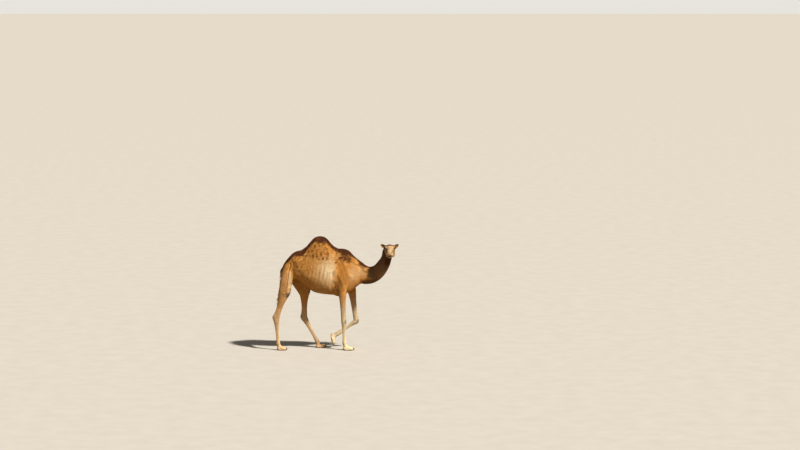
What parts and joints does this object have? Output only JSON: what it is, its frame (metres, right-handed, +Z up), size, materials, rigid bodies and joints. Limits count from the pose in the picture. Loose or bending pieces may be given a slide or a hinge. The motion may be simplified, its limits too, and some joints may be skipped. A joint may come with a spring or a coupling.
{
  "type": "dromedary camel",
  "caption": "Life-size still model of a walking one-humped camel, head turned to its right, left forefoot lifted, parted into head, neck, trunk, hump, tail, ears, eyes, legs and nails.",
  "frame": {"origin": "on the floor under the middle of the whole animal's box; the soles stand on z = 0", "axes": "+X the way the camel walks, +Y its left side, +Z up; the head looks towards -Y"},
  "size_m": [2.2606, 0.8834, 2.033],
  "materials": {
    "coat_tan": "short matt sandy tan fur, curled over the upper flank",
    "coat_cream": "very short matt cream fur of the face and the lower legs",
    "coat_dark": "longer curly dark brown wool of the hump's top, the neck's edges and the tail",
    "eye": "wet dark brown",
    "nail": "worn grey brown horn"
  },
  "bodies": {
    "root": {"trunk": "coat_tan", "hump": "coat_dark", "neck": "coat_tan", "head": "coat_cream", "tail": "coat_dark", "ear_left": "coat_tan", "ear_right": "coat_tan", "eye_left": "eye", "eye_right": "eye", "foreleg_left_upper": "coat_tan", "foreleg_left_lower": "coat_cream", "foreleg_left_foot": "coat_cream", "foreleg_right_upper": "coat_tan", "foreleg_right_lower": "coat_cream", "foreleg_right_foot": "coat_cream", "hindleg_left_upper": "coat_tan", "hindleg_left_lower": "coat_cream", "hindleg_left_foot": "coat_cream", "hindleg_right_upper": "coat_tan", "hindleg_right_lower": "coat_cream", "hindleg_right_foot": "coat_cream", "nail_foreleg_left_outer": "nail", "nail_foreleg_left_inner": "nail", "nail_foreleg_right_outer": "nail", "nail_foreleg_right_inner": "nail", "nail_hindleg_left_outer": "nail", "nail_hindleg_left_inner": "nail", "nail_hindleg_right_outer": "nail", "nail_hindleg_right_inner": "nail"}
  },
  "joints": []
}
